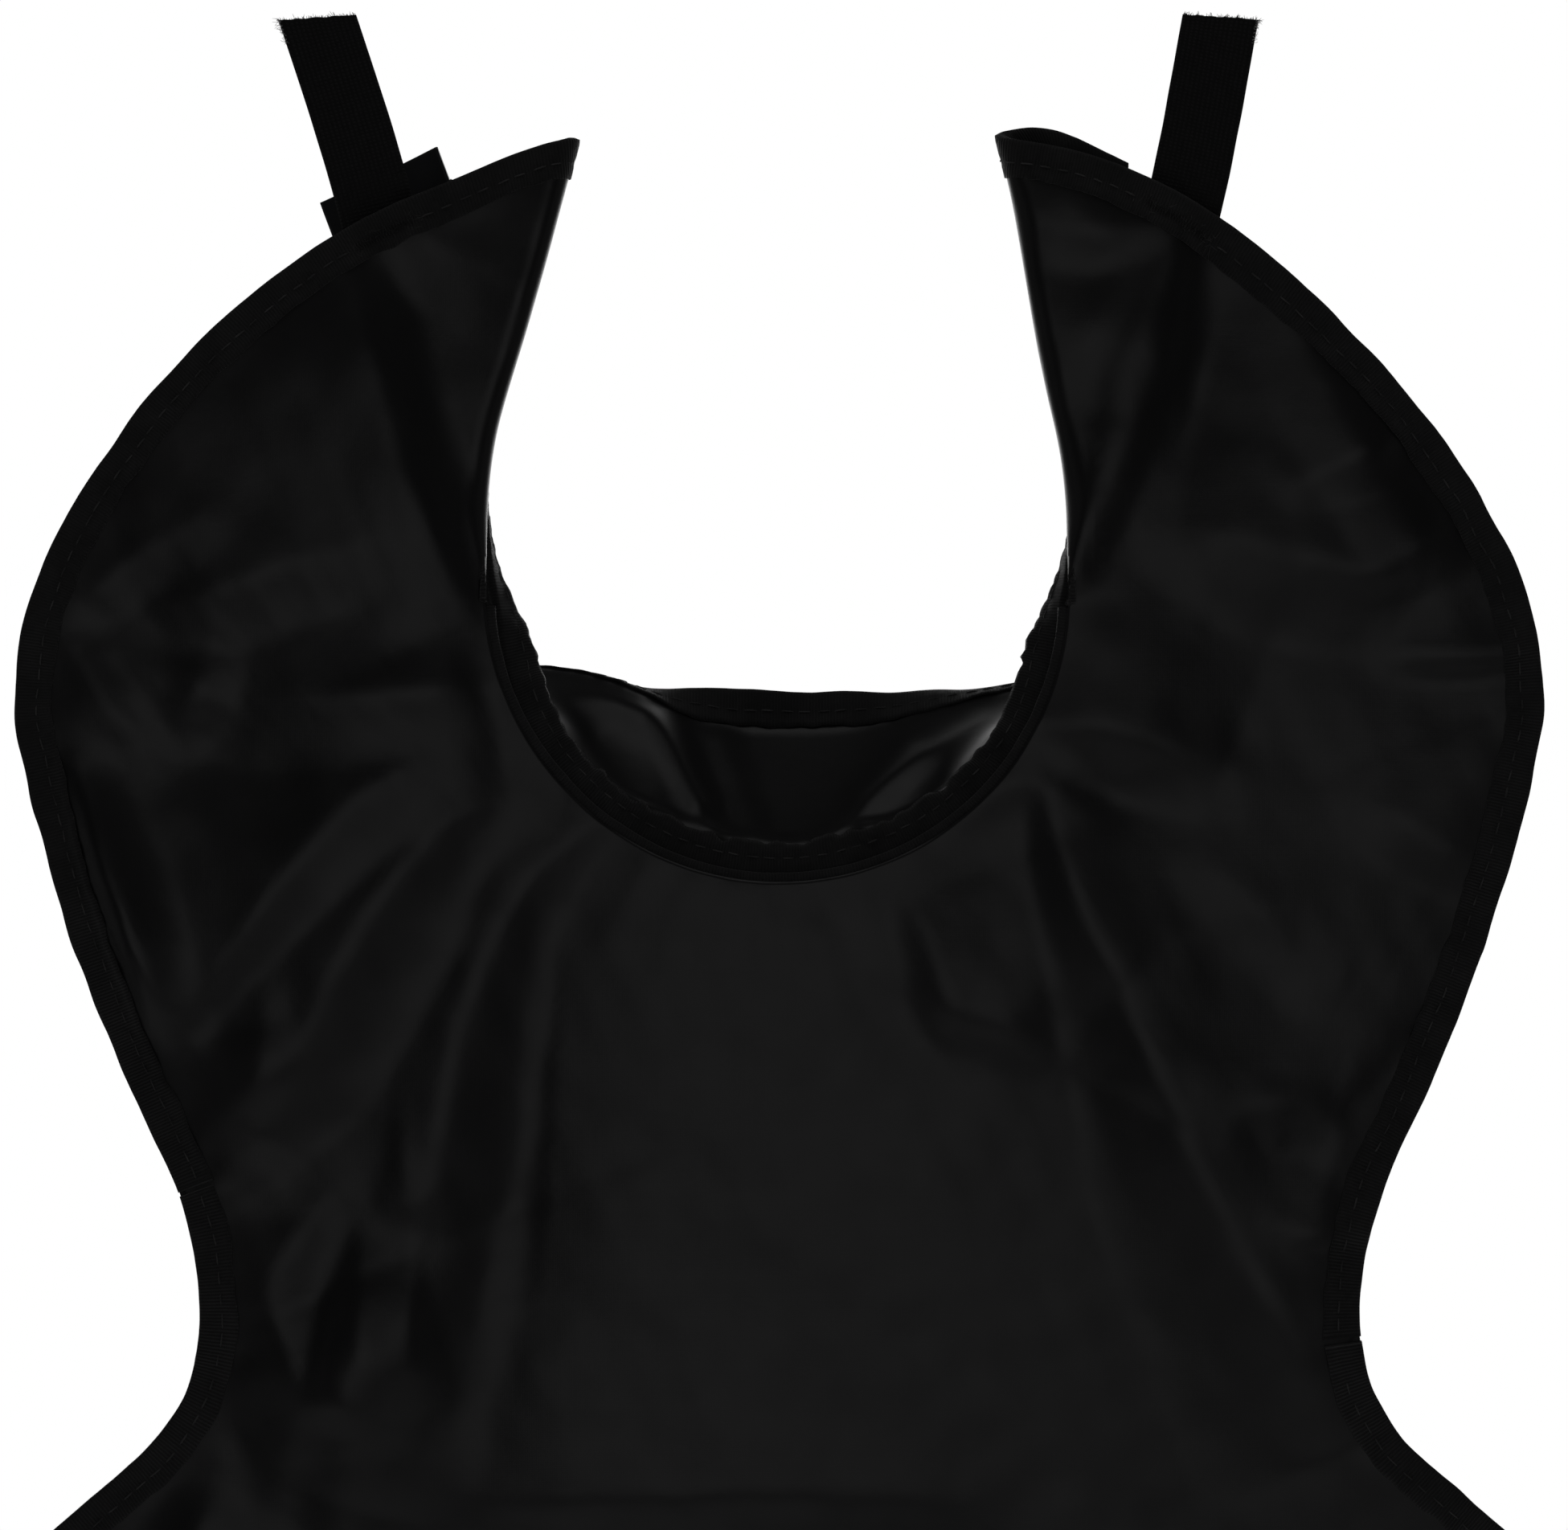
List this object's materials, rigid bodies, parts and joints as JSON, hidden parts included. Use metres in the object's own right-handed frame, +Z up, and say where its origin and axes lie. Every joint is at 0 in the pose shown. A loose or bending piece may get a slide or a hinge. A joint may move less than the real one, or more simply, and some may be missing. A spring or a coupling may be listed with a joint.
{
  "type": "lead apron",
  "caption": "Dental lead apron with a rolled U neck, sewn-on thyroid collar, grosgrain-bound edges and two short shoulder straps.",
  "frame": {"origin": "midway between the top ends of the two shoulder straps, the line the apron hangs from", "axes": "+X to the right seen from the front, +Y from the front face to the back, +Z up"},
  "size_m": [0.6112, 0.0757, 0.7346],
  "materials": {
    "satin_nylon": "satin",
    "lead_vinyl": "matte",
    "grosgrain": "ribbed",
    "webbing": "woven",
    "thread": "matte",
    "hook_tape": "matte",
    "loop_tape": "fuzzy"
  },
  "bodies": {
    "apron": {"front_cover": "satin_nylon", "shield_sheet_front": "lead_vinyl", "shield_sheet_middle": "lead_vinyl", "shield_sheet_rear": "lead_vinyl", "back_cover": "satin_nylon", "left_wing_binding": "grosgrain", "right_wing_binding": "grosgrain", "skirt_binding": "grosgrain", "neck_binding": "grosgrain", "left_wing_stitching": "thread", "right_wing_stitching": "thread", "skirt_stitching": "thread", "neck_stitching": "thread", "collar_inner_cover": "satin_nylon", "collar_shield_sheet_inner": "lead_vinyl", "collar_shield_sheet_outer": "lead_vinyl", "collar_outer_cover": "satin_nylon", "collar_seam_binding": "grosgrain", "collar_edge_binding": "grosgrain", "collar_seam_stitching": "thread", "collar_edge_stitching": "thread", "collar_loop_patch": "loop_tape", "closure_tab_base": "satin_nylon", "left_strap_root": "webbing", "right_strap_root": "webbing", "left_strap_backtack": "thread", "right_strap_backtack": "thread"},
    "left_strap": {"left_strap_webbing": "webbing", "left_strap_hook_tape": "hook_tape"},
    "right_strap": {"right_strap_webbing": "webbing", "right_strap_loop_tape": "loop_tape"},
    "closure_tab": {"closure_tab": "satin_nylon", "closure_tab_hook_tape": "hook_tape"}
  },
  "joints": [
    {"name": "left_strap_bend", "type": "hinge", "parent": "apron", "child": "left_strap", "pos_m": [-0.1397, 0.0045, -0.04456], "axis": [0.972, 0, 0.2351], "range_deg": [-90, 90], "stiffness_Nm_per_rad": 0.01},
    {"name": "right_strap_bend", "type": "hinge", "parent": "apron", "child": "right_strap", "pos_m": [0.1397, 0.0045, -0.04456], "axis": [0.972, 0, -0.2351], "range_deg": [-90, 90], "stiffness_Nm_per_rad": 0.01},
    {"name": "closure_tab_bend", "type": "hinge", "parent": "apron", "child": "closure_tab", "pos_m": [-0.12875, 0.02489, -0.06961], "axis": [-0.8536, 0.3875, -0.3482], "range_deg": [0, 90], "stiffness_Nm_per_rad": 0.005}
  ]
}
